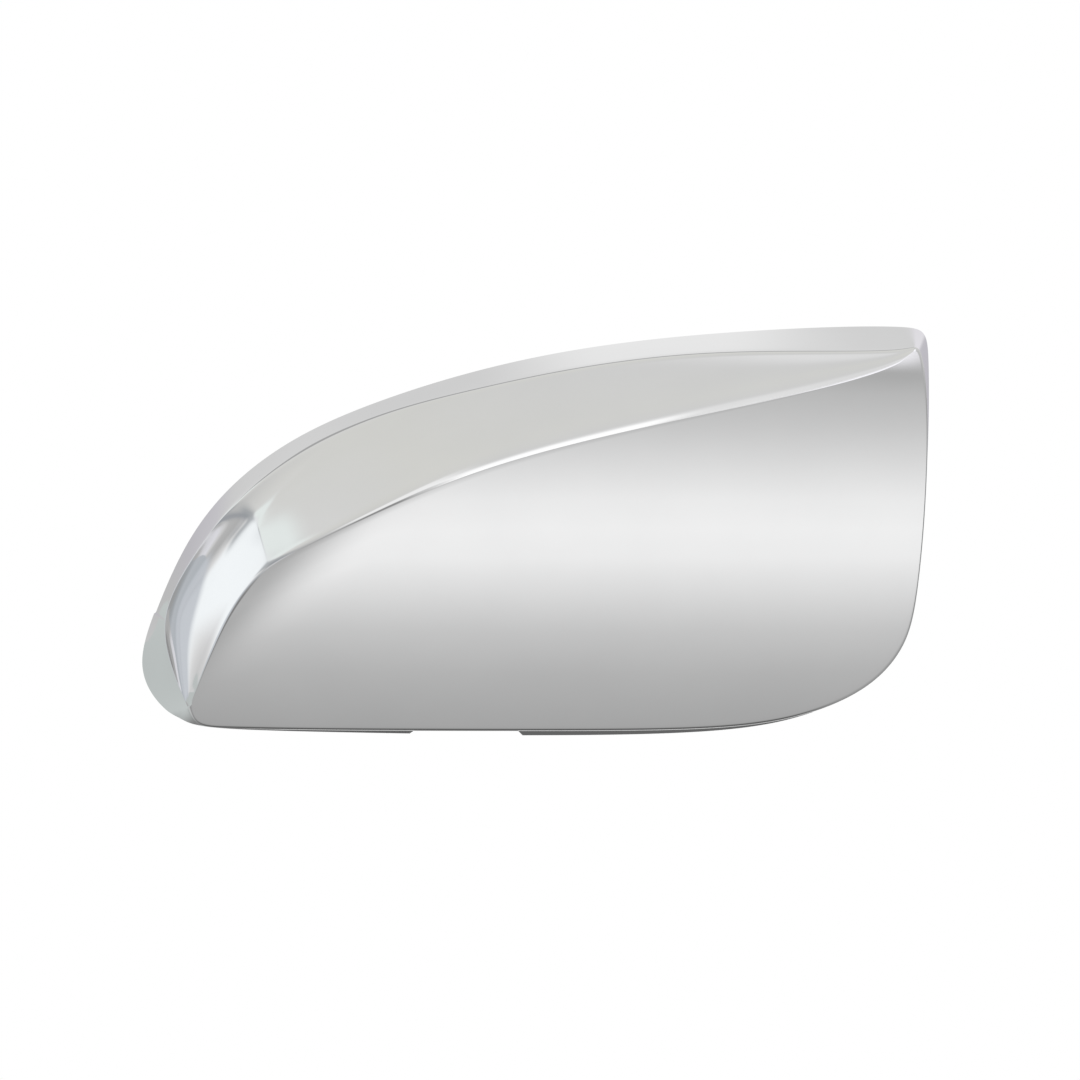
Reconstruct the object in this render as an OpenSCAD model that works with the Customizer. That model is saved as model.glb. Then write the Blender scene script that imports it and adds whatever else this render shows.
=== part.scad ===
// Chrome-plated wing mirror cover: one moulded shell, open at the back and below,
// with the parts that hold it on the mirror housing moulded inside it.
// X runs from the outboard tip to the inboard end, Y from the front to the rear edge, Z up.
// The origin is the centre of the cover's overall box.

/* [Cover] */
// Width, from the outboard tip to the inboard end
cover_w = 235; // [200:1:270]
// Height, from the lower tongue's edge to the top rim
cover_h = 121.7; // [105:0.1:140]
// Depth, from the front of the face to the rear edge
cover_d = 78; // [68:1:90]
// Thickness of the moulded wall
wall = 2.5; // [1.8:0.1:3]

/* [Face] */
// Radius of the face from top to bottom
face_r = 85; // [75:1:110]
// Height above the cover's middle where the face stands straight up
face_level = 0.7; // [-6:0.1:6]
// Radius of the face from end to end
crown_r = 800; // [500:10:1500]
// How far inboard of the middle the face stands furthest forward
crown_mid = 20; // [0:1:40]
// How far in from the tip, measured up and inboard, the face rolls back
roll_in = 52; // [46:1:58]
// Radius of that roll
roll_r = 34; // [28:1:50]
// Width of the soft start of that roll
roll_blend = 6; // [3:0.5:10]

/* [Band] */
// How far the band runs back for each millimetre of its height seen from the front
band_lean = 1.95; // [1.5:0.05:2.2]
// Hollow of the band, behind a straight line across it
band_hollow = 2; // [0:0.1:4]
// Extra hollow of the facet above the scoop's end
facet_depth = 1.2; // [0:0.1:3]
// Extra hollow of the scoop at the outboard end of the band
scoop_depth = 4; // [2:0.5:7]
// Height of the raised pad on the outboard tip
pad_h = 0.6; // [0.3:0.1:1.2]
// How far the rounding of the ridge reaches into the band
ridge_round = 4; // [1:0.1:5]
// How far the rounding of the brow reaches into the band and the rim strip
brow_round = 2.2; // [0.5:0.1:3]
// Rounding between the face and the side wall
edge_round = 0.8; // [0.5:0.1:2]

/* [Lower tongue] */
// How far the tongue shows below the skin's edge
tongue_show = 1.3; // [0.6:0.1:2]
// Thickness of the tongue
tongue_t = 1.8; // [1.2:0.1:2.4]
// How far the tongue overlaps the inside of the skin
tongue_lap = 4; // [3:0.5:8]
// Where the notch in the tongue starts, outboard of the middle
notch_x = 36; // [20:1:60]
// Width of the notch in the tongue
notch_w = 31; // [15:1:50]
// How far in from the outboard end the tongue starts
tongue_start = 18; // [17.5:0.5:30]
// How far in from the inboard end the tongue stops
tongue_end = 35; // [25:1:50]

/* [Fixings] */
// Diameter of the round locating pins
pin_d = 6; // [4:0.5:8]
// Length of a locating pin behind its boss
pin_len = 12; // [8:1:20]
// Diameter of the boss that carries a pin
boss_d = 11; // [10:0.5:14]
// Distance between the two locating pins
pin_spacing = 105; // [80:1:120]
// Height of the pins above the cover's middle
pin_level = -8; // [-15:1:0]
// Width of a snap arm
arm_w = 12; // [8:1:16]
// Thickness of a snap arm
arm_t = 2; // [1.5:0.1:3]
// Length of a snap arm behind the face's inside
arm_len = 30; // [20:1:40]
// How far a snap arm's hook stands out from the arm
hook_out = 1.8; // [1:0.1:3]
// Length of the hook's sloping nose
hook_len = 5; // [3:0.5:8]
// Height of the stiffening ribs
rib_h = 4; // [2:0.5:8]
// Thickness of the stiffening ribs
rib_t = 1.5; // [1:0.1:2.5]

/* [Hidden] */

chrome = [0.80, 0.81, 0.83];

// Stations from the tip over the top to the inboard corner. Each holds three places seen
// from the front, in hundredths of the width and height: the rim, the brow where the rim
// strip meets the band, and the ridge where the band meets the face. The last value is how
// far the rim runs back, as a share of the way from the face to the rear plane.
top_stations = [
    [ 5.2,   3.9,  6.1,  7.0,  6.6,  7.7, 0.62],
    [ 2.2,   8.6,  5.1, 11.2,  7.1, 11.0, 0.70],
    [ 0.2,  17.8,  3.9, 17.8,  8.1, 16.4, 0.78],
    [ 2.3,  31.5,  3.1, 29.6,  9.6, 23.2, 0.84],
    [ 6.3,  48.3,  6.8, 43.5, 12.0, 32.3, 0.89],
    [12.3,  62.3, 12.7, 58.2, 15.7, 40.6, 0.93],
    [20.6,  73.6, 21.4, 70.2, 21.8, 47.2, 0.96],
    [30.8,  82.0, 31.0, 78.7, 30.4, 55.3, 0.98],
    [42.4,  89.0, 41.8, 84.1, 41.1, 64.1, 0.99],
    [55.7,  94.5, 55.1, 89.5, 54.4, 71.8, 1.00],
    [70.9,  98.0, 70.3, 93.2, 69.6, 78.6, 1.00],
    [86.7,  99.8, 85.4, 93.6, 85.4, 85.3, 1.00],
    [96.2,  99.8, 95.3, 93.8, 95.1, 90.6, 1.00],
    [99.3,  98.1, 97.9, 94.6, 97.7, 93.4, 1.00]
];
// Stations of the rim from beside the tip along the bottom and up the inboard side. The
// last value is how much of the side wall shows from the front, in hundredths of the width.
low_stations = [
    [ 7.5,   2.4, 0.30, 0.10],
    [11.6,   1.7, 0.10, 0.08],
    [20.3,   1.3, 0.06, 0.08],
    [35.4,   1.1, 0.05, 0.08],
    [53.2,   1.1, 0.05, 0.08],
    [69.6,   1.5, 0.05, 0.08],
    [81.7,   3.9, 0.06, 0.08],
    [91.0,  10.8, 0.09, 0.10],
    [96.1,  20.8, 0.18, 0.14],
    [98.4,  35.0, 0.43, 0.12],
    [99.8,  68.5, 0.84, 0.18],
    [99.9,  90.2, 0.95, 0.75]
];

// Columns along the cover, and rows across its strips
columns = 56;
strip_rows = 3;
band_rows = 7;
face_rows = 12;

function place(x, z) = [(x / 100 - 0.5) * cover_w, (z / 100 - 0.5) * cover_h];

// Depth of the face's outside behind its foremost point
function roll_reach(x, z) = (z - x - cover_w / 2) * sqrt(0.5) + roll_in;
function roll_soft(q) = (q + sqrt(q * q + roll_blend * roll_blend)) / 2;
function face_depth(x, z) =
    pow(z - face_level, 2) / (2 * face_r) + pow(x - crown_mid, 2) / (2 * crown_r)
    + pow(roll_soft(roll_reach(x, z)), 2) / (2 * roll_r);
function face_slope_x(x, z) = (face_depth(x + wall, z) - face_depth(x - wall, z)) / (2 * wall);
function face_slope_z(x, z) = (face_depth(x, z + wall) - face_depth(x, z - wall)) / (2 * wall);
// Depth of the face's inside, one wall behind it
function inside_depth(x, z) =
    face_depth(x, z) + wall * sqrt(1 + pow(face_slope_x(x, z), 2) + pow(face_slope_z(x, z), 2));

function unit(v) = v / norm(v);
function rim_depth(p, share) = face_depth(p[0], p[1]) * (1 - share) + cover_d * share;

// One station as [rim, brow, ridge, share], with places in millimetres
function top_row(s) = [place(s[0], s[1]), place(s[2], s[3]), place(s[4], s[5]), s[6]];
function low_place(k) =
    k < 0 ? place(top_stations[0][0], top_stations[0][1])
    : k >= len(low_stations) ? place(top_last[0], top_last[1])
    : place(low_stations[k][0], low_stations[k][1]);
function low_inward(k) =
    let (d = unit(low_place(k + 1) - low_place(k - 1))) [-d[1], d[0]];
function low_row(k) =
    let (rim = low_place(k), inward = low_inward(k), seen = low_stations[k][3] / 100 * cover_w)
    [rim, rim + inward * seen, rim + inward * (seen + edge_round), low_stations[k][2]];

top_last = top_stations[len(top_stations) - 1];
spans = len(top_stations) - 1;
ring = concat([for (s = top_stations) top_row(s)],
              [for (k = [len(low_stations) - 1:-1:0]) low_row(k)]);
ring_n = len(ring);

// Smooth closed curve through the stations, the same for every value that a station holds
function knot(k, c) =
    let (a = ring[(k + ring_n - 1) % ring_n][c], b = ring[k % ring_n][c], d = ring[(k + 1) % ring_n][c])
    (8 * b - a - d) / 6;
knots = [for (c = [0:3]) [for (k = [0:ring_n - 1]) knot(k, c)]];
function curve(c, t) =
    let (k = floor(t), f = t - k,
         w = [pow(1 - f, 3), 3 * pow(f, 3) - 6 * f * f + 4, 1 + 3 * f + 3 * f * f - 3 * pow(f, 3), pow(f, 3)])
    (w[0] * knots[c][(k + ring_n - 1) % ring_n] + w[1] * knots[c][k % ring_n]
     + w[2] * knots[c][(k + 1) % ring_n] + w[3] * knots[c][(k + 2) % ring_n]) / 6;

function ease(x) = let (c = min(max(x, 0), 1)) c * c * (3 - 2 * c);

// Extra depth of the band at station t and share v of the way from the ridge to the brow.
// The scoop ends at a crease that crosses the band from the ridge. Where the crease stops,
// the scoop's edge turns outboard and a shallow facet spreads inboard, both up to the brow.
crease_t = 5.12;
crease_v = 0.57;
function above_crease(v) = max(v - crease_v, 0) / (1 - crease_v);
function scoop_edge(v) = crease_t - 0.5 * pow(above_crease(v), 1.5);
function facet_edge(v) = crease_t + 1.5 * pow(above_crease(v), 1.2);
function rise(way, soft) = 1 - exp(-max(way, 0) / soft);
function scoop_way(t, v) =
    let (way = scoop_edge(v) - t, soft = 0.12 * min(max((v - 0.5) / 0.2, 0), 1))
    (way + norm([way, soft])) / 2;
function scoop_soft(v) = mix(0.55, 0.22, ease((v - 0.35) / 0.35));
function hollow(t, v) =
    4 * v * (1 - v) * (band_hollow + facet_depth * rise(facet_edge(v) - t, 0.8)
                       + scoop_depth * ease(t / 1.5) * rise(scoop_way(t, v), scoop_soft(v)));
// Outward shift of the rim on the tip's raised pad, which ends at a step
pad_start = 0.6;
pad_end = 2.9;
pad_step = 0.08;
function pad(t) = pad_h * ease((pad_end - t) / pad_step) * ease(t / pad_start);

// How far the inside stands in from the rim, brow and ridge, and behind the brow
rim_wall = wall * 0.98;
brow_wall = wall * 0.95;
ridge_wall = wall * 0.75;
brow_back = wall * 0.35;
// Depth of the side wall's front edge behind the face
edge_back = edge_round * 0.6;

// One side of a column: the rim, brow and ridge in space, for the skin's outside
// (inner = 0) or its inside (inner = 1)
function side(t, low, inner) =
    let (r = curve(0, t), b = curve(1, t), g = curve(2, t), share = min(curve(3, t), 1),
         inward = unit(g - r), out = low ? 0 : pad(t),
         blend = ease(min(low_way(t), spans - low_way(t))),
         rim = r + inward * (inner * rim_wall - out),
         brow = b + inward * inner * brow_wall,
         ridge = g + inward * inner * ridge_wall,
         lean = face_depth(g[0], g[1]) + band_lean * norm(b - g) + inner * brow_back,
         edge = inner > 0 ? inside_depth(brow[0], brow[1]) : face_depth(b[0], b[1]) + edge_back,
         brow_y = low ? edge * blend + lean * (1 - blend) : lean,
         ridge_y = inner > 0 ? inside_depth(ridge[0], ridge[1]) : face_depth(ridge[0], ridge[1]))
    [[rim[0], rim_depth(r, share), rim[1]], [brow[0], brow_y, brow[1]], [ridge[0], ridge_y, ridge[1]]];
function low_way(t) = t > spans ? ring_n - t : 0;

function mix(a, b, f) = a * (1 - f) + b * f;
// Width of the band below which its hollow gets shallower, as seen from the front
hollow_width = cover_h / 12;
function band_point(s, t, v) =
    let (width = norm([s[1][0] - s[2][0], s[1][2] - s[2][2]]))
    mix(s[2], s[1], v) + [0, hollow(t, v) * width / norm([width, hollow_width]), 0];
function face_point(a, b, f, inner) =
    let (p = mix(a, b, f))
    [p[0], inner > 0 ? inside_depth(p[0], p[2]) : face_depth(p[0], p[2]), p[2]];

// Shares of the band and of the face that the ridge's rounding takes
function ridge_band_share(s) = min(0.4, ridge_round / max(norm(s[1] - s[2]), 0.1));
function ridge_face_share(a, b) = min(0.2, ridge_round / 4 / max(norm(a[2] - b[2]), 0.1));
// The brow is sharp beside the scoop and rounded inboard of it
sharp_brow = 0.3;
function brow_soft(t) = mix(sharp_brow, brow_round, ease((t - crease_t + 0.8) / 0.8));
function brow_share(t, length) = min(0.3, brow_soft(t) / max(length, 0.1));
function rounded(a, corner, b) = a / 4 + corner / 2 + b / 4;

// All points of one column, from the top rim over the face to the lower rim
function column(i, inner) =
    let (ends = i == 0 || i == columns,
         t = i / columns * spans, tl = (ring_n - t) % ring_n,
         a = side(t, false, inner), b = side(tl, true, inner),
         ridge_v = ridge_band_share(a),
         ridge_f = ridge_face_share(a, b),
         strip_end = 1 - brow_share(t, norm(a[0] - a[1])),
         band_end = 1 - brow_share(t, norm(a[1] - a[2])),
         corner = [b[1][0], b[2][1], b[1][2]])
    concat(
        [for (k = [0:strip_rows - 1])
            mix(a[0], a[1], ends ? k / strip_rows : strip_end * k / (strip_rows - 1))],
        [ends ? a[1] : rounded(mix(a[0], a[1], strip_end), a[1], band_point(a, t, band_end))],
        [for (k = [0:band_rows - 1]) ends ? a[2]
            : band_point(a, t, mix(band_end, ridge_v, k / (band_rows - 1)))],
        [ends ? a[2]
            : rounded(band_point(a, t, ridge_v), a[2], face_point(a[2], b[2], ridge_f, inner))],
        [for (k = [0:face_rows - 1]) ends ? a[2]
            : face_point(a[2], b[2], mix(ridge_f, 1, k / (face_rows - 1)), inner)],
        [ends ? a[2] : rounded(b[2], corner, b[1])],
        [ends ? a[1] : b[1]],
        [for (k = [1:strip_rows]) ends ? mix(a[1], a[0], k / strip_rows)
            : mix(b[1], b[0], k / strip_rows)]
    );

outside = [for (i = [0:columns]) column(i, 0)];
inside = [for (i = [0:columns]) column(i, 1)];
rows = len(outside[0]);

// The first and last columns fold on themselves, so their points are shared
brow_row = strip_rows;
ridge_row = strip_rows + band_rows + 1;
function shared_row(i, j) =
    i > 0 && i < columns ? j
    : j <= brow_row ? j
    : j >= rows - 1 - brow_row ? rows - 1 - j
    : ridge_row;
function index(i, j) = i * rows + shared_row(i, j);
function real(f) = f[0] != f[1] && f[1] != f[2] && f[0] != f[2];
function quad(a, b, c, d) = [for (f = [[a, b, c], [a, c, d]]) if (real(f)) f];

sheet = [for (i = [0:columns - 1]) for (j = [0:rows - 2])
         each quad(index(i, j), index(i + 1, j), index(i + 1, j + 1), index(i, j + 1))];
far = (columns + 1) * rows;
rim_edge = [for (i = [0:columns - 1]) for (j = [0, rows - 1])
            let (a = index(i, j), b = index(i + 1, j))
            each (j == 0 ? quad(b, a, a + far, b + far) : quad(a, b, b + far, a + far))];

// The tongue is a plate behind the lower edge, in two stretches beside a notch.
// rim_way finds how many stations along the lower edge a place in x lies.
tongue_steps = 12;
function rim_way(x, w0, w1) =
    w1 - w0 < 0.001 ? w0
    : let (m = (w0 + w1) / 2) curve(0, ring_n - m)[0] < x ? rim_way(x, m, w1) : rim_way(x, w0, m);
function tongue_point(x, up, back) =
    let (t = ring_n - rim_way(x, 0.2, spans - 4), r = curve(0, t))
    [x, rim_depth(r, min(curve(3, t), 1)) + back, r[1] + up];
tongue_x = [tongue_start - cover_w / 2, -notch_x, -notch_x + notch_w, cover_w / 2 - tongue_end];
// Share of its full height that the tongue shows, at the share f of a stretch
function outboard_show(f) = mix(0.05, 0.65, f);
function inboard_show(f) = mix(1, 0.1, f * f);
function inboard_low(f) =
    tongue_point(mix(tongue_x[2], tongue_x[3], f), -tongue_show * inboard_show(f), 0)[2];
tongue_low = min([for (k = [0:tongue_steps]) inboard_low(k / tongue_steps)]);

// Everything is set out from the front of the face, then moved to the box's middle
skin_points = [for (c = outside) each c];
low_x = min([for (p = skin_points) p[0]]);
high_x = max([for (p = skin_points) p[0]]);
low_y = min([for (p = skin_points) p[1]]);
high_y = max([for (p = skin_points) p[1]]);
high_z = max([for (p = skin_points) p[2]]);
box_mid = [(low_x + high_x) / 2, (low_y + high_y) / 2, (tongue_low + high_z) / 2];

module skin() {
    lining = [for (f = sheet) [f[2] + far, f[1] + far, f[0] + far]];
    polyhedron(points = concat(skin_points, [for (c = inside) each c]),
               faces = concat(sheet, lining, rim_edge),
               convexity = 6);
}

// Below the skin's edge the tongue leans back as far as it reaches down. shows holds the
// share that shows at each step, and cut slants the end beside the notch.
module tongue_stretch(x0, x1, shows, cut0, cut1) {
    points = [for (k = [0:tongue_steps]) let (
        x = mix(x0, x1, k / tongue_steps),
        slant = k == 0 ? cut0 : k == tongue_steps ? -cut1 : 0,
        show = tongue_show * shows[k]) each [
        tongue_point(x + slant, -show, show - tongue_t / 2),
        tongue_point(x + slant, -show, show + tongue_t / 2),
        tongue_point(x, 0, tongue_t / 2),
        tongue_point(x, tongue_lap, tongue_t / 2),
        tongue_point(x, tongue_lap, -tongue_t / 2),
        tongue_point(x, 0, -tongue_t / 2)
    ]];
    last = 6 * tongue_steps;
    polyhedron(
        points = points,
        faces = concat(
            [for (f = [[0, 1, 2], [0, 2, 5], [2, 3, 4], [2, 4, 5]]) each [
                f, [f[2] + last, f[1] + last, f[0] + last]]],
            [for (k = [0:tongue_steps - 1]) for (c = [0:5]) let (d = (c + 1) % 6)
                each quad(6 * k + c, 6 * k + 6 + c, 6 * k + 6 + d, 6 * k + d)]),
        convexity = 4);
}

module tongue() {
    shares = [for (k = [0:tongue_steps]) k / tongue_steps];
    tongue_stretch(tongue_x[0], tongue_x[1], [for (f = shares) outboard_show(f)], 0, tongue_show);
    tongue_stretch(tongue_x[2], tongue_x[3], [for (f = shares) inboard_show(f)], tongue_show, 0);
}

// How deep the roots of the inner parts sink into the wall
root = wall * 0.4;
gusset_len = arm_len * 0.45;
gusset_h = arm_t * 3;
boss_h = rib_h * 1.25;
pin_nose = pin_d / 6;
tie_h = rib_h * 0.6;
hook_back = arm_t / 2;

// Two stretches of rib cross at each pin, and low ribs tie the snap arms together
pin_x = [for (side = [-0.5, 0.5]) crown_mid + side * pin_spacing];
upper_arms = [place(45, 51), place(64, 60), place(87, 71)];
lower_arms = [place(23, 14), place(47, 12), place(70, 12), place(90, 19)];
tie_level = place(50, 22)[1];

module locating_pin(x) {
    start = inside_depth(x, pin_level);
    straight = pin_len - pin_nose;
    translate([x, start - root, pin_level]) rotate([-90, 0, 0])
        cylinder(d = boss_d, h = root + boss_h, $fn = 64);
    translate([x, start + boss_h, pin_level]) rotate([-90, 0, 0]) {
        cylinder(d = pin_d, h = straight, $fn = 64);
        translate([0, 0, straight])
            cylinder(d1 = pin_d, d2 = pin_d - 2 * pin_nose, h = pin_nose, $fn = 64);
    }
}

// A plate along X that stands on the face's inside, from x0 to x1 at the height z
module rib_along(x0, x1, z, h) {
    xs = [for (k = [0:8]) mix(x0, x1, k / 8)];
    translate([0, 0, z - rib_t / 2])
        linear_extrude(rib_t)
            polygon(concat([for (x = xs) [x, inside_depth(x, z) - root]],
                           [for (k = [8:-1:0]) [xs[k], inside_depth(xs[k], z) + h]]));
}

// The same standing up, from z0 to z1 at the place x
module rib_up(x, z0, z1, h) {
    zs = [for (k = [0:8]) mix(z0, z1, k / 8)];
    translate([x - rib_t / 2, 0, 0]) rotate([90, 0, 90])
        linear_extrude(rib_t)
            polygon(concat([for (z = zs) [inside_depth(x, z) - root, z]],
                           [for (k = [8:-1:0]) [inside_depth(x, zs[k]) + h, zs[k]]]));
}

module pin_cross(x) {
    reach = boss_d / 2 + rib_h * 1.5;
    rib_along(x - reach, x + reach, pin_level, rib_h);
    rib_up(x, pin_level - reach, pin_level + reach, rib_h);
}

// A springy arm with a hook at its end; toward is 1 for a hook that faces up, -1 for down
module snap_arm(x, z, toward) {
    end = inside_depth(x, z) + arm_len;
    top = z + toward * arm_t;
    translate([x - arm_w / 2, 0, 0]) rotate([90, 0, 90])
        linear_extrude(arm_w)
            polygon([
                [inside_depth(x, z) - root, z],
                [end, z],
                [end, z + toward * arm_t * 0.6],
                [end - hook_len, top + toward * hook_out],
                [end - hook_len - hook_back / 2, top + toward * hook_out],
                [end - hook_len - hook_back, top],
                [inside_depth(x, top) - root, top]
            ]);
    for (side = [-1, 1])
        translate([x + side * (arm_w / 2 - rib_t / 2) - rib_t / 2, 0, 0]) rotate([90, 0, 90])
            linear_extrude(rib_t)
                polygon([
                    [inside_depth(x, z) - root, z + toward * arm_t / 4],
                    [inside_depth(x, z) + gusset_len, z + toward * arm_t / 4],
                    [inside_depth(x, z - toward * gusset_h) - root, z - toward * gusset_h]
                ]);
}

module fixings() {
    for (x = pin_x) {
        locating_pin(x);
        pin_cross(x);
    }
    for (a = upper_arms) snap_arm(a[0], a[1], 1);
    for (a = lower_arms) {
        snap_arm(a[0], a[1], -1);
        rib_up(a[0], a[1], tie_level, tie_h);
    }
    rib_along(lower_arms[0][0] - arm_w / 2, lower_arms[3][0] + arm_w / 2, tie_level, tie_h);
}

module cover_shell() {
    color(chrome) translate(-box_mid) {
        skin();
        tongue();
        fixings();
    }
}

cover_shell();
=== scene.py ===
import math

import bmesh
import bpy
import numpy as np
from mathutils import Matrix


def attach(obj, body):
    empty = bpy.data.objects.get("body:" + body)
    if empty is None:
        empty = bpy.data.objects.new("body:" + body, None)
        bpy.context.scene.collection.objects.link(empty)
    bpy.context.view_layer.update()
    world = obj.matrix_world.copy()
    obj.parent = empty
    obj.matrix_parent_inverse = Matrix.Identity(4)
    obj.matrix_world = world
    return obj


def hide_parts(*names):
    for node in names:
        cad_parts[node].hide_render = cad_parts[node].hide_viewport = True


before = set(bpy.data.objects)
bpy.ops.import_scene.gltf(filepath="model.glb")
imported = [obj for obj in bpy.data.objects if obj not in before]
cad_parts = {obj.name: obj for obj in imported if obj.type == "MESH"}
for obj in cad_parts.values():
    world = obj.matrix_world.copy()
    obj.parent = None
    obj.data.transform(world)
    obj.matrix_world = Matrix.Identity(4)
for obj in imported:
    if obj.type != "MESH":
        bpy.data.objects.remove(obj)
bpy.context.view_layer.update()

# The same stations and named values as in the part's source, in millimetres, drawn with finer steps. These
# differ, to follow the photo more closely: the ridge's rounding reaches 10 mm into the band inboard of the
# scoop (4 mm in the source), the scoop deepens later above the tip, the pad is 0.4 mm high (0.6 mm) with a
# step half as long, and the turn of the lower edge follows the face.
COVER_W, COVER_H, COVER_D, WALL = 235.0, 121.7, 78.0, 2.5
FACE_R, FACE_LEVEL, CROWN_R, CROWN_MID = 85.0, 0.7, 800.0, 20.0
ROLL_IN, ROLL_R, ROLL_BLEND = 52.0, 34.0, 6.0
BAND_LEAN, BAND_HOLLOW, FACET_DEPTH, SCOOP_DEPTH = 1.95, 2.0, 1.2, 4.0
# The scoop ends at station CREASE_T. Above share CREASE_V of the band its edge turns outboard, and a shallow
# facet spreads inboard up to the brow.
CREASE_T, CREASE_V, CREASE_SHIFT, CREASE_BEND = 5.12, 0.57, 0.5, 1.5
FACET_SPREAD, FACET_BEND, FACET_SOFT = 1.5, 1.2, 0.8
# The station where the scoop starts, the stations over which it deepens, and how softly it ends
SCOOP_START, SCOOP_RAMP, SCOOP_SOFT, SCOOP_SHARP, SCOOP_TURN = 0.3, 2.6, 0.55, 0.22, 0.12
# Where across the band the scoop's end turns sharp, and where its turn starts to be rounded
SHARP_FROM, SHARP_OVER, TURN_FROM, TURN_OVER = 0.35, 0.35, 0.5, 0.2
PAD_H, PAD_START, PAD_END, PAD_STEP = 0.4, 0.6, 2.9, 0.04
# Reach of the ridge's rounding into the band, inboard of the scoop and beside it, and the part of that reach
# that it takes on the face
RIDGE_ROUND, SCOOP_RIDGE, RIDGE_FACE = 10.0, 4.0, 1 / 6
BROW_ROUND, SHARP_BROW, EDGE_ROUND = 2.2, 0.3, 0.8
# Stations over which the ridge and the brow change their rounding, and the most of the band, the face and
# the rim strip that a rounding may take up
RIDGE_RAMP, BROW_RAMP = 3, 0.8
BAND_SHARE, FACE_SHARE, STRIP_SHARE = 0.45, 0.2, 0.3
# Lengths under this count as this, so that nothing is divided by zero
LEAST = 0.1
HOLLOW_WIDTH = COVER_H / 12
TONGUE_SHOW, TONGUE_T, TONGUE_LAP = 1.3, 1.8, 4.0
NOTCH_X, NOTCH_W, TONGUE_START, TONGUE_END = 36.0, 31.0, 18.0, 35.0
PIN_D, PIN_LEN, BOSS_D, PIN_SPACING, PIN_LEVEL = 6.0, 12.0, 11.0, 105.0, -8.0
ARM_W, ARM_T, ARM_LEN, HOOK_OUT, HOOK_LEN = 12.0, 2.0, 30.0, 1.8, 5.0
RIB_H, RIB_T = 4.0, 1.5
ROOT = WALL * 0.4
# How far the inside stands in from the rim, brow and ridge, and behind the brow
RIM_WALL, BROW_WALL, RIDGE_WALL, BROW_BACK = WALL * 0.98, WALL * 0.95, WALL * 0.75, WALL * 0.35
# Depth of the side wall's front edge behind the face
EDGE_BACK = EDGE_ROUND * 0.6
GUSSET_LEN, GUSSET_H = ARM_LEN * 0.45, ARM_T * 3
GUSSET_LAP, ARM_END = ARM_T / 4, ARM_T * 0.6
BOSS_H, PIN_NOSE, TIE_H, HOOK_BACK = RIB_H * 1.25, PIN_D / 6, RIB_H * 0.6, ARM_T / 2
RIB_STEPS, TONGUE_STEPS, ROUND_STEPS = 24, 40, 64

# Rim x, z, brow x, z and ridge x, z in hundredths of the width and height, then how far the rim runs back
# as a share of the way from the face to the rear plane
TOP = [
    (5.2, 3.9, 6.1, 7.0, 6.6, 7.7, 0.62),
    (2.2, 8.6, 5.1, 11.2, 7.1, 11.0, 0.70),
    (0.2, 17.8, 3.9, 17.8, 8.1, 16.4, 0.78),
    (2.3, 31.5, 3.1, 29.6, 9.6, 23.2, 0.84),
    (6.3, 48.3, 6.8, 43.5, 12.0, 32.3, 0.89),
    (12.3, 62.3, 12.7, 58.2, 15.7, 40.6, 0.93),
    (20.6, 73.6, 21.4, 70.2, 21.8, 47.2, 0.96),
    (30.8, 82.0, 31.0, 78.7, 30.4, 55.3, 0.98),
    (42.4, 89.0, 41.8, 84.1, 41.1, 64.1, 0.99),
    (55.7, 94.5, 55.1, 89.5, 54.4, 71.8, 1.00),
    (70.9, 98.0, 70.3, 93.2, 69.6, 78.6, 1.00),
    (86.7, 99.8, 85.4, 93.6, 85.4, 85.3, 1.00),
    (96.2, 99.8, 95.3, 93.8, 95.1, 90.6, 1.00),
    (99.3, 98.1, 97.9, 94.6, 97.7, 93.4, 1.00),
]
# Rim x, z in hundredths, the same share, and how much of the side wall shows in hundredths of the width
LOW = [
    (7.5, 2.4, 0.30, 0.10), (11.6, 1.7, 0.10, 0.08), (20.3, 1.3, 0.06, 0.08), (35.4, 1.1, 0.05, 0.08),
    (53.2, 1.1, 0.05, 0.08), (69.6, 1.5, 0.05, 0.08), (81.7, 3.9, 0.06, 0.08), (91.0, 10.8, 0.09, 0.10),
    (96.1, 20.8, 0.18, 0.14), (98.4, 35.0, 0.43, 0.12), (99.8, 68.5, 0.84, 0.18), (99.9, 90.2, 0.95, 0.75),
]
SPANS = len(TOP) - 1


def place(x, z):
    return np.array([(x / 100 - 0.5) * COVER_W, (z / 100 - 0.5) * COVER_H])


def face_depth(x, z):
    q = (z - x - COVER_W / 2) * math.sqrt(0.5) + ROLL_IN
    soft = (q + np.sqrt(q * q + ROLL_BLEND ** 2)) / 2
    return ((z - FACE_LEVEL) ** 2 / (2 * FACE_R) + (x - CROWN_MID) ** 2 / (2 * CROWN_R)
            + soft ** 2 / (2 * ROLL_R))


def inside_depth(x, z):
    sx = (face_depth(x + WALL, z) - face_depth(x - WALL, z)) / (2 * WALL)
    sz = (face_depth(x, z + WALL) - face_depth(x, z - WALL)) / (2 * WALL)
    return face_depth(x, z) + WALL * np.sqrt(1 + sx ** 2 + sz ** 2)


def ring_knots():
    top = [[*place(*s[0:2]), *place(*s[2:4]), *place(*s[4:6]), s[6]] for s in TOP]
    edge = [top[0][:2]] + [place(*s[:2]) for s in LOW] + [top[-1][:2]]
    low = []
    for k in range(1, len(edge) - 1):
        along = np.subtract(edge[k + 1], edge[k - 1])
        along = along / np.hypot(*along)
        inward = np.array([-along[1], along[0]])
        rim, seen = np.array(edge[k]), LOW[k - 1][3] / 100 * COVER_W
        low.append([*rim, *(rim + inward * seen), *(rim + inward * (seen + EDGE_ROUND)), LOW[k - 1][2]])
    rows = np.array(top + low[::-1])
    return (8 * rows - np.roll(rows, 1, 0) - np.roll(rows, -1, 0)) / 6


KNOTS = ring_knots()
RING_N = len(KNOTS)


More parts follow.
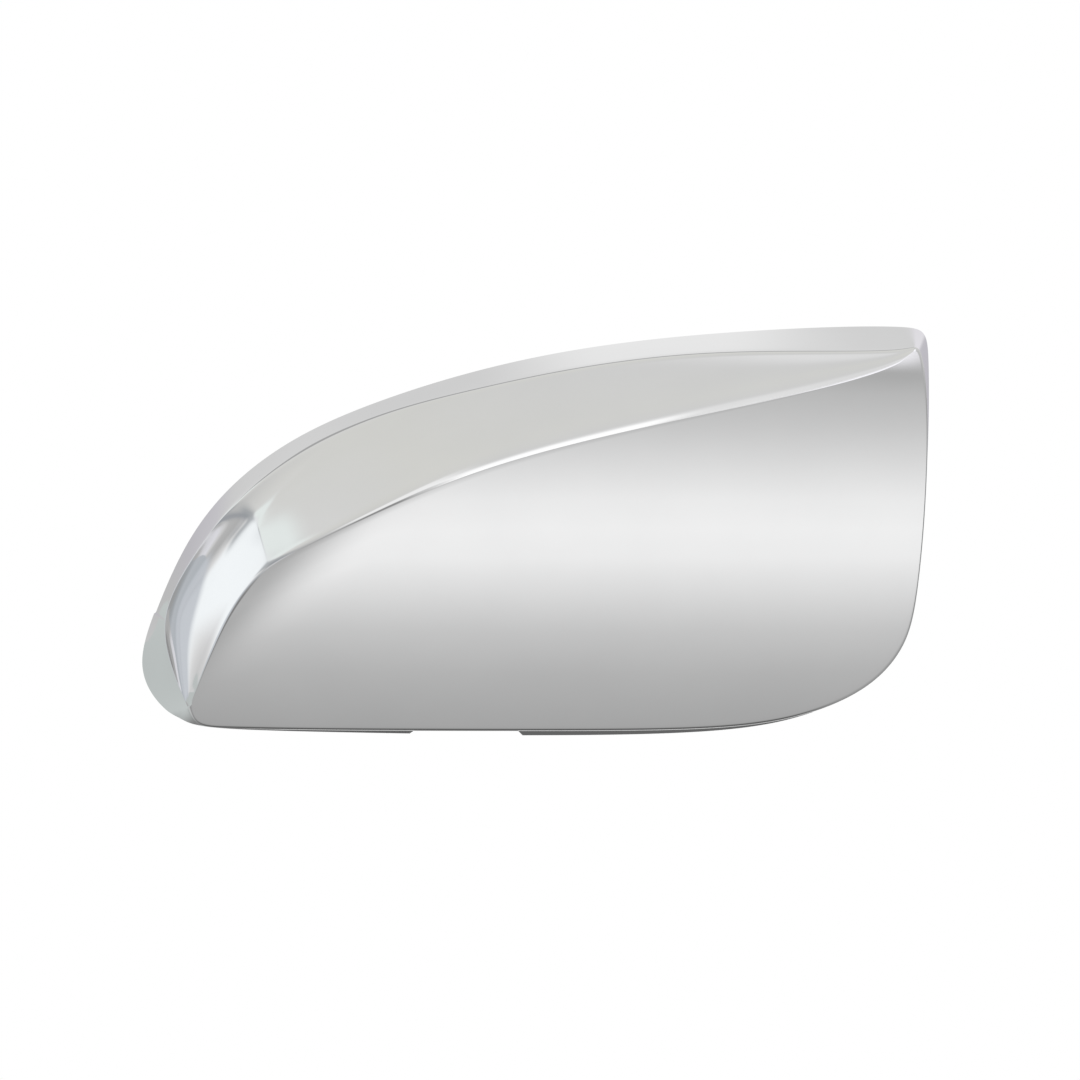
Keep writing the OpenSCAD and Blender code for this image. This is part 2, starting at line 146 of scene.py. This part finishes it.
def curve(t):
    t = np.atleast_1d(np.asarray(t, float)) % RING_N
    k = np.floor(t).astype(int)
    f = (t - k)[:, None]
    w = [(1 - f) ** 3, 3 * f ** 3 - 6 * f ** 2 + 4, 1 + 3 * f + 3 * f ** 2 - 3 * f ** 3, f ** 3]
    return sum(w[i] * KNOTS[(k + i - 1) % RING_N] for i in range(4)) / 6


def ease(x):
    c = np.clip(x, 0, 1)
    return c * c * (3 - 2 * c)


def above_crease(v):
    return np.clip(v - CREASE_V, 0, None) / (1 - CREASE_V)


def rise(way, soft):
    return 1 - np.exp(-np.clip(way, 0, None) / soft)


def scoop_soft(v):
    """How gently the scoop ends: soft beside the ridge, sharp towards the brow."""
    return SCOOP_SOFT + (SCOOP_SHARP - SCOOP_SOFT) * ease((v - SHARP_FROM) / SHARP_OVER)


def hollow(t, v):
    """Extra depth of the band: its own hollow, the shallow facet and the scoop that ends at a crease."""
    v = v + 0 * t
    way = CREASE_T - CREASE_SHIFT * above_crease(v) ** CREASE_BEND - t
    way = (way + np.hypot(way, SCOOP_TURN * np.clip((v - TURN_FROM) / TURN_OVER, 0, 1))) / 2
    scoop = SCOOP_DEPTH * ease((t - SCOOP_START) / SCOOP_RAMP) * rise(way, scoop_soft(v))
    past = CREASE_T + FACET_SPREAD * above_crease(v) ** FACET_BEND - t
    facet = FACET_DEPTH * rise(past, FACET_SOFT)
    return 4 * v * (1 - v) * (BAND_HOLLOW + facet + scoop)


def pad(t):
    return PAD_H * ease((PAD_END - t) / PAD_STEP) * ease(t / PAD_START)


def sides(t, low, inner):
    """Rim, brow and ridge in space for each t, on the skin's outside (inner 0) or inside (inner 1)."""
    s = curve(t)
    r, b, g, share = s[:, :2], s[:, 2:4], s[:, 4:6], np.minimum(s[:, 6], 1)
    inward = (g - r) / np.linalg.norm(g - r, axis=1, keepdims=True)
    out = np.zeros(len(t)) if low else pad(t)
    way = np.where(t > SPANS, RING_N - t, 0)
    blend = ease(np.minimum(way, SPANS - way))
    rim = r + inward * (inner * RIM_WALL - out)[:, None]
    brow = b + inward * inner * BROW_WALL
    ridge = g + inward * inner * RIDGE_WALL
    lean = face_depth(*g.T) + BAND_LEAN * np.linalg.norm(b - g, axis=1) + inner * BROW_BACK
    edge = inside_depth(*brow.T) if inner else face_depth(*b.T) + EDGE_BACK
    brow_y = edge * blend + lean * (1 - blend) if low else lean
    ridge_y = (inside_depth if inner else face_depth)(*ridge.T)
    rim_y = face_depth(*r.T) * (1 - share) + COVER_D * share
    places = ((rim, rim_y), (brow, brow_y), (ridge, ridge_y))
    return [np.stack([p[:, 0], y, p[:, 1]], 1) for p, y in places]


def mix(p, q, f):
    f = np.asarray(f, float)
    f = f[:, None] if f.ndim else f
    return p * (1 - f) + q * f


def bend(p, corner, q, n):
    """Rounded turn from p to q beside the corner, n points long, its ends left out."""
    steps = [k / (n + 1) for k in range(1, n + 1)]
    return [p * (1 - f) ** 2 + 2 * corner * f * (1 - f) + q * f ** 2 for f in steps]


BROW_STEPS = 3
# Where the columns stand closer together: place on the ring, how far to each side, how much closer.
# These are the scoop's end, the inboard corner and the step of the pad.
DENSER = [(4.9, 0.5, 2.2), (12.7, 0.5, 1.2), (PAD_END - PAD_STEP / 2, 0.06, 4.0)]


def column_places(columns):
    """Place of each column on the ring, from the tip to the inboard corner."""
    fine = np.linspace(0, SPANS, 6001)
    dense = 1 + sum(extra * np.exp(-((fine - at) / reach) ** 2) for at, reach, extra in DENSER)
    way = np.concatenate([[0], np.cumsum((dense[1:] + dense[:-1]) / 2)])
    return np.interp(np.linspace(0, way[-1], columns + 1), way, fine)


def skin_grid(columns, strip, band, crest, face, edge, inner):
    """One side of the skin as a grid of points: rows from the top rim over the face to the lower rim."""
    t = column_places(columns)
    top, low = sides(t, False, inner), sides((RING_N - t) % RING_N, True, inner)
    depth = inside_depth if inner else face_depth
    width = np.linalg.norm(top[1] - top[2], axis=1)
    wide = np.hypot(top[1][:, 0] - top[2][:, 0], top[1][:, 2] - top[2][:, 2])
    span = np.linalg.norm(top[2] - low[2], axis=1)
    reach = SCOOP_RIDGE + (RIDGE_ROUND - SCOOP_RIDGE) * ease((t - CREASE_T) / RIDGE_RAMP)
    round_v = np.minimum(BAND_SHARE, reach / np.maximum(width, LEAST))
    round_f = np.minimum(FACE_SHARE, reach * RIDGE_FACE / np.maximum(span, LEAST))
    soft = SHARP_BROW + (BROW_ROUND - SHARP_BROW) * ease((t - CREASE_T + BROW_RAMP) / BROW_RAMP)
    high = np.linalg.norm(top[0] - top[1], axis=1)
    strip_end = 1 - np.minimum(STRIP_SHARE, soft / np.maximum(high, LEAST))
    band_end = 1 - np.minimum(STRIP_SHARE, soft / np.maximum(width, LEAST))

    def band_point(v):
        p = mix(top[2], top[1], v).copy()
        p[:, 1] += hollow(t, v) * wide / np.hypot(wide, HOLLOW_WIDTH)
        return p

    def face_point(f):
        p = mix(top[2], low[2], f).copy()
        p[:, 1] = depth(p[:, 0], p[:, 2])
        return p

    rows = [mix(top[0], top[1], strip_end * k / (strip - 1)) for k in range(strip)]
    rows += bend(rows[-1], top[1], band_point(band_end), BROW_STEPS)
    rows += [band_point(band_end + (round_v - band_end) * k / (band - 1)) for k in range(band)]
    rows += bend(band_point(round_v), top[2], face_point(round_f), crest)
    rows += [face_point(round_f + (1 - round_f) * k / (face - 1)) for k in range(face)]
    corner = np.stack([low[1][:, 0], depth(low[1][:, 0], low[1][:, 2]), low[1][:, 2]], 1)
    rows += bend(low[2], corner, low[1], edge) + [low[1]]
    rows += [mix(low[1], low[0], k / strip) for k in range(1, strip + 1)]
    grid = np.array(rows)
    # The first and last columns fold on themselves, so that their points are shared
    last = len(rows) - 1
    for i in (0, columns):
        for k in range(strip):
            grid[k, i] = mix(top[0][i], top[1][i], k / strip)
        grid[strip:strip + BROW_STEPS, i] = top[1][i]
        grid[strip + BROW_STEPS:last - strip, i] = top[2][i]
        grid[last - strip:, i] = grid[strip::-1, i]
    return grid, last


def tongue_point(x, up, back):
    """A point beside the lower rim at x, so far above the rim and behind it."""
    s = curve(RING_N - np.linspace(0.2, SPANS - 4, 4000))
    k = int(np.argmin(np.abs(s[:, 0] - x)))
    r = s[k]
    return (x, face_depth(r[0], r[1]) * (1 - r[6]) + COVER_D * min(r[6], 1) + back, r[1] + up)


def outboard_show(f):
    """Share of the tongue's full height that shows, from the tip to the notch."""
    return mix(0.05, 0.65, f)


def inboard_show(f):
    """The same from the notch to the inboard end."""
    return mix(1, 0.1, f * f)


TONGUE_X = [TONGUE_START - COVER_W / 2, -NOTCH_X, -NOTCH_X + NOTCH_W, COVER_W / 2 - TONGUE_END]


# The middle of the solid's box, set out from the front of the face: the frame's origin lies there
MID = np.array([0.1198, 39.0092, 0.0134])


def to_mesh(name, points, faces):
    """A mesh from points in the source's millimetres, with its faces turned outward."""
    mesh = bpy.data.meshes.new(name)
    verts = (np.asarray(points, float) - MID) / 1000
    mesh.from_pydata([tuple(v) for v in verts], [], [tuple(int(i) for i in f) for f in faces])
    bm = bmesh.new()
    bm.from_mesh(mesh)
    bmesh.ops.remove_doubles(bm, verts=bm.verts, dist=1e-7)
    bmesh.ops.dissolve_degenerate(bm, edges=bm.edges, dist=1e-8)
    bmesh.ops.recalc_face_normals(bm, faces=bm.faces)
    bm.to_mesh(mesh)
    bm.free()
    obj = bpy.data.objects.new(name, mesh)
    bpy.context.scene.collection.objects.link(obj)
    return obj


# Rows of the skin's grid: rim strip, band, ridge, face and lower edge
OUTER_ROWS = (8, 44, 8, 72, 6)
INNER_ROWS = (8, 14, 2, 26, 3)


def skin(columns=380):
    outer, last = skin_grid(columns, *OUTER_ROWS, 0)
    inner, last_in = skin_grid(columns, *INNER_ROWS, 1)
    n = columns + 1
    points = np.concatenate([outer.reshape(-1, 3), inner.reshape(-1, 3)])
    start = outer.shape[0] * n

    def sheet(rows_n, base, flip):
        out = []
        for j in range(rows_n - 1):
            for i in range(columns):
                a, b = base + j * n + i, base + (j + 1) * n + i
                out.append((a, a + 1, b + 1, b) if not flip else (b, b + 1, a + 1, a))
        return out

    faces = sheet(outer.shape[0], 0, False) + sheet(inner.shape[0], start, True)
    for rows_out, rows_in in ((0, 0), (last, last_in)):
        for i in range(columns):
            a, b = rows_out * n + i, start + rows_in * n + i
            faces.append((a, a + 1, b + 1, b))
    return to_mesh("cover", points, faces)


def prism(outline, place_point, thick):
    """A plate from an outline in two coordinates, drawn through place_point(u, v, side)."""
    n = len(outline)
    points = [place_point(u, v, s * thick / 2) for s in (-1, 1) for u, v in outline]
    faces = [tuple(range(n))[::-1], tuple(range(n, 2 * n))]
    faces += [(k, (k + 1) % n, n + (k + 1) % n, n + k) for k in range(n)]
    return points, faces


def rib_along(x0, x1, z, h):
    xs = [mix(x0, x1, k / RIB_STEPS) for k in range(RIB_STEPS + 1)]
    line = [(x, inside_depth(x, z) - ROOT) for x in xs] + [(x, inside_depth(x, z) + h) for x in xs[::-1]]
    return prism(line, lambda u, v, s: (u, v, z + s), RIB_T)


def rib_up(x, z0, z1, h):
    zs = [mix(z0, z1, k / RIB_STEPS) for k in range(RIB_STEPS + 1)]
    line = [(inside_depth(x, z) - ROOT, z) for z in zs] + [(inside_depth(x, z) + h, z) for z in zs[::-1]]
    return prism(line, lambda u, v, s: (x + s, u, v), RIB_T)


def snap_arm(x, z, toward):
    end, top = inside_depth(x, z) + ARM_LEN, z + toward * ARM_T
    hook, back = end - HOOK_LEN, top + toward * HOOK_OUT
    line = [(inside_depth(x, z) - ROOT, z), (end, z), (end, z + toward * ARM_END), (hook, back),
            (hook - HOOK_BACK / 2, back), (hook - HOOK_BACK, top), (inside_depth(x, top) - ROOT, top)]
    parts = [prism(line, lambda u, v, s: (x + s, u, v), ARM_W)]
    for side in (-1, 1):
        at = x + side * (ARM_W / 2 - RIB_T / 2)
        high, low = z + toward * GUSSET_LAP, z - toward * GUSSET_H
        tri = [(inside_depth(x, z) - ROOT, high), (inside_depth(x, z) + GUSSET_LEN, high),
               (inside_depth(x, low) - ROOT, low)]
        parts.append(prism(tri, lambda u, v, s, at=at: (at + s, u, v), RIB_T))
    return parts


def turned(x, z, profile, n=ROUND_STEPS):
    """A round part about an axis along Y, from a profile of (depth, radius)."""
    points = [(x + r * math.cos(2 * math.pi * k / n), y, z + r * math.sin(2 * math.pi * k / n))
              for y, r in profile for k in range(n)]
    faces = [tuple(range(n)), tuple(range((len(profile) - 1) * n, len(profile) * n))[::-1]]
    for j in range(len(profile) - 1):
        for k in range(n):
            a, b = j * n + k, j * n + (k + 1) % n
            faces.append((a, b, b + n, a + n))
    return points, faces


def tongue_stretch(x0, x1, show, cut0, cut1):
    """A plate along the lower edge that leans back below it; show gives its height, cut slants an end."""
    steps = TONGUE_STEPS
    points, faces = [], []
    for k in range(steps + 1):
        f = k / steps
        x = x0 + (x1 - x0) * f
        slant = cut0 if k == 0 else -cut1 if k == steps else 0
        seen = TONGUE_SHOW * show(f)
        half = TONGUE_T / 2
        points += [tongue_point(x + slant, -seen, seen - half), tongue_point(x + slant, -seen, seen + half),
                   tongue_point(x, 0, half), tongue_point(x, TONGUE_LAP, half),
                   tongue_point(x, TONGUE_LAP, -half), tongue_point(x, 0, -half)]
    for k in range(steps):
        for c in range(6):
            a, b = 6 * k + c, 6 * k + (c + 1) % 6
            faces.append((a, a + 6, b + 6, b))
    for base, turn in ((0, -1), (6 * steps, 1)):
        faces += [tuple(base + c for c in ring[::turn]) for ring in ((0, 1, 2, 5), (2, 3, 4, 5))]
    return points, faces


def fixings():
    parts = [tongue_stretch(TONGUE_X[0], TONGUE_X[1], outboard_show, 0, TONGUE_SHOW),
             tongue_stretch(TONGUE_X[2], TONGUE_X[3], inboard_show, TONGUE_SHOW, 0)]
    reach = BOSS_D / 2 + RIB_H * 1.5
    for side in (-0.5, 0.5):
        x = CROWN_MID + side * PIN_SPACING
        start = inside_depth(x, PIN_LEVEL)
        end, r = start + BOSS_H + PIN_LEN, PIN_D / 2
        boss = [(start - ROOT, BOSS_D / 2), (start + BOSS_H, BOSS_D / 2)]
        pin = [(start, r), (end - PIN_NOSE, r), (end, r - PIN_NOSE)]
        parts += [turned(x, PIN_LEVEL, boss), turned(x, PIN_LEVEL, pin)]
        parts.append(rib_along(x - reach, x + reach, PIN_LEVEL, RIB_H))
        parts.append(rib_up(x, PIN_LEVEL - reach, PIN_LEVEL + reach, RIB_H))
    for at in (place(45, 51), place(64, 60), place(87, 71)):
        parts += snap_arm(at[0], at[1], 1)
    lower = [place(23, 14), place(47, 12), place(70, 12), place(90, 19)]
    tie = place(50, 22)[1]
    for at in lower:
        parts += snap_arm(at[0], at[1], -1)
        parts.append(rib_up(at[0], at[1], tie, TIE_H))
    parts.append(rib_along(lower[0][0] - ARM_W / 2, lower[3][0] + ARM_W / 2, tie, TIE_H))
    return [to_mesh("fixing_%d" % k, p, f) for k, (p, f) in enumerate(parts)]


def applied(obj):
    """Make the modifiers of obj real in its mesh."""
    graph = bpy.context.evaluated_depsgraph_get()
    mesh = bpy.data.meshes.new_from_object(obj.evaluated_get(graph))
    obj.modifiers.clear()
    old = obj.data
    obj.data = mesh
    bpy.data.meshes.remove(old)


SHARP_ANGLE = 32
cover = skin()
inner_parts = fixings()
group = bpy.data.collections.new("fixings")
for part in inner_parts:
    bpy.context.scene.collection.objects.unlink(part)
    group.objects.link(part)
bpy.context.scene.collection.children.link(group)
union = cover.modifiers.new("union", "BOOLEAN")
union.operation = "UNION"
union.solver = "EXACT"
union.operand_type = "COLLECTION"
union.collection = group
union.use_self = False
applied(cover)
for part in inner_parts:
    bpy.data.objects.remove(part, do_unlink=True)
bpy.data.collections.remove(group)
cover.data.name = "cover"
cover.data.polygons.foreach_set("use_smooth", [True] * len(cover.data.polygons))
cover.data.set_sharp_from_angle(angle=math.radians(SHARP_ANGLE))

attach(cover, "root")
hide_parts("cover_shell")


def node(tree, kind, **values):
    n = tree.nodes.new(kind)
    for key, value in values.items():
        if key in n.inputs:
            n.inputs[key].default_value = value
        else:
            setattr(n, key, value)
    return n


def noise(tree, coord, scale, detail, roughness):
    n = node(tree, "ShaderNodeTexNoise", **{"Scale": scale, "Detail": detail, "Roughness": roughness})
    tree.links.new(coord.outputs["Object"], n.inputs["Vector"])
    return n.outputs["Fac"]


def two_tones(tree, factor, start, dark, end, light):
    n = node(tree, "ShaderNodeValToRGB")
    for stop, at, colour in zip(n.color_ramp.elements, (start, end), (dark, light)):
        stop.position = at
        stop.color = (*colour, 1)
    tree.links.new(factor, n.inputs["Fac"])
    return n.outputs["Color"]


def ranged(tree, value, start, end, low, high):
    n = node(tree, "ShaderNodeMapRange",
             **{"From Min": start, "From Max": end, "To Min": low, "To Max": high})
    tree.links.new(value, n.inputs["Value"])
    return n.outputs["Result"]


def chrome_material():
    mat = bpy.data.materials.new("chrome_plating")
    mat.use_nodes = True
    tree = mat.node_tree
    tree.nodes.clear()
    link = tree.links.new
    out = node(tree, "ShaderNodeOutputMaterial")
    shader = node(tree, "ShaderNodeBsdfPrincipled", **{"Metallic": 1.0})
    link(shader.outputs["BSDF"], out.inputs["Surface"])
    coord = node(tree, "ShaderNodeTexCoord")
    # Faint clouding of the plating, in tone and in gloss
    cloud = noise(tree, coord, 26.0, 5.0, 0.55)
    tone = two_tones(tree, cloud, 0.35, (0.790, 0.791, 0.793), 0.70, (0.811, 0.812, 0.813))
    gloss = ranged(tree, cloud, 0.3, 0.7, 0.035, 0.065)
    # The inside, which faces back, takes the plating duller, and its colour darker as painted shade for the
    # hollow, with coarser clouding
    axes = node(tree, "ShaderNodeSeparateXYZ")
    link(coord.outputs["Normal"], axes.inputs[0])
    # Mask of the back-facing inside: it carries the painted shade in the colour and the duller gloss
    inside = ranged(tree, axes.outputs["Y"], 0.02, 0.2, 0.0, 1.0)
    blotch = noise(tree, coord, 60.0, 6.0, 0.65)
    # Darker base colour of the inside: painted shade for the hollow, clouded at random
    inside_painted_shade = two_tones(tree, blotch, 0.30, (0.40, 0.405, 0.415), 0.72, (0.52, 0.525, 0.535))
    matt = ranged(tree, blotch, 0.3, 0.7, 0.26, 0.36)
    tint = node(tree, "ShaderNodeMix", data_type="RGBA")
    for slot, value in ((0, inside), (6, tone), (7, inside_painted_shade)):
        link(value, tint.inputs[slot])
    link(tint.outputs[2], shader.inputs["Base Color"])
    rough = node(tree, "ShaderNodeMix", data_type="FLOAT")
    for slot, value in ((0, inside), (2, gloss), (3, matt)):
        link(value, rough.inputs[slot])
    link(rough.outputs[0], shader.inputs["Roughness"])
    # The slight waviness that moulded plastic keeps under its plating
    bump = node(tree, "ShaderNodeBump", **{"Strength": 0.03, "Distance": 0.0004})
    link(noise(tree, coord, 90.0, 2.0, 0.4), bump.inputs["Height"])
    link(bump.outputs["Normal"], shader.inputs["Normal"])
    return mat


cover.data.materials.clear()
cover.data.materials.append(chrome_material())

# The studio: a pale floor, a soft overhead lamp and a light tent that only the chrome sees
FLOOR_Z, FLOOR_R, FLOOR_GREY, FLOOR_ROUGH = -0.27, 6.0, 0.93, 0.8
floor_mesh = bpy.data.meshes.new("floor")
bm = bmesh.new()
bmesh.ops.create_circle(bm, cap_ends=True, segments=96, radius=FLOOR_R)
bm.to_mesh(floor_mesh)
bm.free()
floor = bpy.data.objects.new("floor", floor_mesh)
floor.location = (0, 0, FLOOR_Z)
bpy.context.scene.collection.objects.link(floor)
mat = bpy.data.materials.new("floor")
mat.use_nodes = True
bsdf = mat.node_tree.nodes["Principled BSDF"]
bsdf.inputs["Base Color"].default_value = (FLOOR_GREY, FLOOR_GREY, FLOOR_GREY, 1)
bsdf.inputs["Roughness"].default_value = FLOOR_ROUGH
floor_mesh.materials.append(mat)

TENT_R, TENT_HALF, TENT_GLOW = 0.25, 0.42, 1.25
# Where along x the outboard gradient and the outboard cap take over, and over what length
OUTBOARD_AT, OUTBOARD_SOFT = -0.22, 0.24
CAP_AT, CAP_SOFT = 0.0005 - TENT_HALF, 0.0002
# The tent's walls: angle about its axis in degrees (0 towards the camera, 90 up, 180 behind, -90 down)
# and screen grey, for the middle and inboard end and for the outboard end
WALLS = [
    (-180, 125), (-160, 115), (-145, 108), (-125, 102), (-105, 100), (-93, 82), (-86, 100), (-80, 152),
    (-70, 165), (-55, 178), (-40, 196), (-25, 219), (-12, 235), (0, 238), (12, 233), (25, 218), (40, 198),
    (52, 184), (58, 170), (64, 172), (70, 185), (104, 192), (112, 203), (130, (206, 206, 202)), (143, 207),
    (150, 200), (160, 190), (165, (176, 174, 180)), (172, (168, 166, 172)), (180, 170),
]
OUTBOARD = [
    (-180, 198), (-150, 186), (-120, 186), (-100, 165), (-80, 140), (-60, 150), (-30, 160), (0, 175),
    (30, 172), (60, 168), (70, 174), (80, (204, 204, 208)), (94, (216, 216, 221)), (102, 200), (108, 178),
    (120, 172), (131, 205), (145, 225), (156, 232), (168, 222), (180, 200),
]
# The tent's outboard end, by the angle of the spot about the axis
OUTBOARD_CAP = [
    (-180, 190), (-60, 150), (-30, 132), (20, 130), (38, 152), (60, (158, 162, 166)),
    (76, (178, 182, 187)), (118, (172, 177, 182)), (130, 195), (136, 128), (180, 135),
]
# Soft panels on the walls: angle from, to, softness | x from, to, softness | screen colour | strength
PANELS = [
    (60, 110, 12, -0.12, 0.075, 0.05, 254, 1.0),
    (62, 97, 6, 0.07, 0.15, 0.03, (250, 249, 254), 1.0),
    (103, 120, 5, -0.20, -0.10, 0.05, 240, 0.85),
    (60, 112, 12, 0.015, 0.092, 0.03, 212, 0.8),
    (148, 166, 8, -0.015, 0.075, 0.05, 228, 0.75),
    (139, 170, 14, -0.60, -0.21, 0.06, (240, 244, 246), 0.9),
    (138.5, 144.5, 2, -0.20, 0.60, 0.05, 158, 1.0),
    (62, 102, 6, -0.31, -0.215, 0.03, 163, 1.0),
    (62, 102, 6, -0.225, -0.155, 0.03, 140, 1.0),
    (-190, -142, 8, -0.60, -0.14, 0.05, (181, 186, 185), 1.0),
    (110, 190, 16, -0.60, -0.395, 0.08, (190, 194, 200), 1.0),
    (104, 131, 8, -0.306, -0.258, 0.04, (148, 151, 156), 0.85),
    (122, 144, 8, -0.282, -0.228, 0.03, (146, 150, 154), 0.75),
    (134, 141, 4, -0.225, -0.180, 0.02, (224, 230, 228), 0.9),
    (-190, -72, 10, 0.13, 0.60, 0.06, 160, 0.8),
    (154, 163, 4, 0.118, 0.15, 0.015, (213, 211, 216), 0.8),
    (-120, 120, 4, 0.4195, 0.60, 0.0002, 128, 1.0),
]


def to_linear(c):
    c = c / 255
    return c / 12.92 if c <= 0.04045 else ((c + 0.055) / 1.055) ** 2.4


def screen_colour(c):
    c = c if isinstance(c, tuple) else (c, c, c)
    return (*[to_linear(v) for v in c], 1)


def tent():
    mesh = bpy.data.meshes.new("tent")
    bm = bmesh.new()
    bmesh.ops.create_cone(bm, cap_ends=True, segments=96, radius1=TENT_R, radius2=TENT_R,
                          depth=2 * TENT_HALF)
    bmesh.ops.rotate(bm, verts=bm.verts, matrix=Matrix.Rotation(math.pi / 2, 3, "Y"))
    bm.to_mesh(mesh)
    bm.free()
    obj = bpy.data.objects.new("tent", mesh)
    bpy.context.scene.collection.objects.link(obj)
    obj.visible_camera = obj.visible_diffuse = obj.visible_shadow = False
    obj.visible_transmission = obj.visible_volume_scatter = False
    mat = bpy.data.materials.new("tent")
    mat.use_nodes = True
    tree = mat.node_tree
    tree.nodes.clear()
    link = tree.links.new

    def calc(operation, a, b, c=None):
        n = node(tree, "ShaderNodeMath", operation=operation)
        for slot, value in enumerate((a, b, c)):
            if isinstance(value, (int, float)):
                n.inputs[slot].default_value = value
            elif value is not None:
                link(value, n.inputs[slot])
        return n.outputs[0]

    def step(value, at, soft, up):
        """A smooth step about the value at: from 0 to 1 if up, else from 1 to 0."""
        low, high = (0.0, 1.0) if up else (1.0, 0.0)
        n = node(tree, "ShaderNodeMapRange", interpolation_type="SMOOTHSTEP",
                 **{"From Min": at - soft / 2, "From Max": at + soft / 2, "To Min": low, "To Max": high})
        link(value, n.inputs["Value"])
        return n.outputs["Result"]

    def blend(factor, a, b):
        n = node(tree, "ShaderNodeMix", data_type="RGBA")
        for slot, value in ((0, factor), (6, a), (7, b)):
            if isinstance(value, tuple):
                n.inputs[slot].default_value = value
            else:
                link(value, n.inputs[slot])
        return n.outputs[2]

    def gradient(stops_wanted):
        ramp = node(tree, "ShaderNodeValToRGB")
        stops = ramp.color_ramp.elements
        while len(stops) < len(stops_wanted):
            stops.new(0.5)
        for stop, (angle, grey) in zip(stops, stops_wanted):
            stop.position = angle / 360 + 0.5
            stop.color = screen_colour(grey)
        link(calc("MULTIPLY_ADD", degrees, 1 / 360, 0.5), ramp.inputs["Fac"])
        return ramp.outputs["Color"]

    out = node(tree, "ShaderNodeOutputMaterial")
    glow = node(tree, "ShaderNodeEmission", **{"Strength": TENT_GLOW})
    link(glow.outputs[0], out.inputs["Surface"])
    coord = node(tree, "ShaderNodeTexCoord")
    axes = node(tree, "ShaderNodeSeparateXYZ")
    link(coord.outputs["Object"], axes.inputs[0])
    x = axes.outputs["X"]
    turn = calc("ARCTAN2", axes.outputs["Z"], calc("MULTIPLY", axes.outputs["Y"], -1))
    degrees = calc("MULTIPLY", turn, 180 / math.pi)
    colour = blend(step(x, OUTBOARD_AT, OUTBOARD_SOFT, False), gradient(WALLS), gradient(OUTBOARD))
    colour = blend(step(x, CAP_AT, CAP_SOFT, False), colour, gradient(OUTBOARD_CAP))
    for a0, a1, soft_a, x0, x1, soft_x, shade, strength in PANELS:
        along = calc("MULTIPLY", step(x, x0, soft_x, True), step(x, x1, soft_x, False))
        about = calc("MULTIPLY", step(degrees, a0, soft_a, True), step(degrees, a1, soft_a, False))
        cover_up = calc("MULTIPLY", calc("MULTIPLY", along, about), strength)
        colour = blend(cover_up, colour, screen_colour(shade))
    link(colour, glow.inputs["Color"])
    mesh.materials.append(mat)
    return obj


tent()

LAMP_SIZE, LAMP_POWER = (1.6, 1.2), 22
LAMP_PLACE, LAMP_TILT = (0.15, -0.3, 1.5), (-11, 6, 0)
lamp = bpy.data.lights.new("overhead", "AREA")
lamp.shape = "RECTANGLE"
lamp.size, lamp.size_y = LAMP_SIZE
lamp.energy = LAMP_POWER
lamp_obj = bpy.data.objects.new("overhead", lamp)
lamp_obj.location = LAMP_PLACE
lamp_obj.rotation_euler = [math.radians(v) for v in LAMP_TILT]
bpy.context.scene.collection.objects.link(lamp_obj)

# The world is white to the camera and in reflections, and lights matt surfaces more weakly
SEEN_WORLD, LIT_WORLD = 1.0, 0.75
world = bpy.data.worlds.new("studio")
bpy.context.scene.world = world
world.use_nodes = True
tree = world.node_tree
tree.nodes.clear()
out = node(tree, "ShaderNodeOutputWorld")
seen = node(tree, "ShaderNodeBackground", **{"Color": (1, 1, 1, 1), "Strength": SEEN_WORLD})
lit = node(tree, "ShaderNodeBackground", **{"Color": (1, 1, 1, 1), "Strength": LIT_WORLD})
path = node(tree, "ShaderNodeLightPath")
both = node(tree, "ShaderNodeMath", operation="MAXIMUM")
all_three = node(tree, "ShaderNodeMath", operation="MAXIMUM")
pick = node(tree, "ShaderNodeMixShader")
tree.links.new(path.outputs["Is Camera Ray"], both.inputs[0])
tree.links.new(path.outputs["Is Glossy Ray"], both.inputs[1])
tree.links.new(both.outputs[0], all_three.inputs[0])
tree.links.new(path.outputs["Is Transmission Ray"], all_three.inputs[1])
tree.links.new(all_three.outputs[0], pick.inputs["Fac"])
tree.links.new(lit.outputs[0], pick.inputs[1])
tree.links.new(seen.outputs[0], pick.inputs[2])
tree.links.new(pick.outputs[0], out.inputs["Surface"])

# The camera looks straight at the front from far off. The photo is 1080 pixels wide at 0.2975 mm to the
# pixel, with the middle of the cover at PHOTO_MID.
PHOTO_W, PIXEL, PHOTO_MID = 1080, 0.0002975, (535, 530.5)
DISTANCE, FRAME_W, SENSOR = 14.0, PHOTO_W * PIXEL, 36
cam = bpy.data.cameras.new("camera")
cam.sensor_width = SENSOR
cam.lens = SENSOR * DISTANCE / FRAME_W
cam.clip_end = 100
cam_obj = bpy.data.objects.new("camera", cam)
cam_obj.location = ((PHOTO_W / 2 - PHOTO_MID[0]) * PIXEL - MID[0] / 1000, -DISTANCE,
                    (PHOTO_MID[1] - PHOTO_W / 2) * PIXEL - MID[2] / 1000)
cam_obj.rotation_euler = (math.radians(90), 0, 0)
bpy.context.scene.collection.objects.link(cam_obj)
bpy.context.scene.camera = cam_obj
bpy.context.scene.view_settings.view_transform = "Standard"
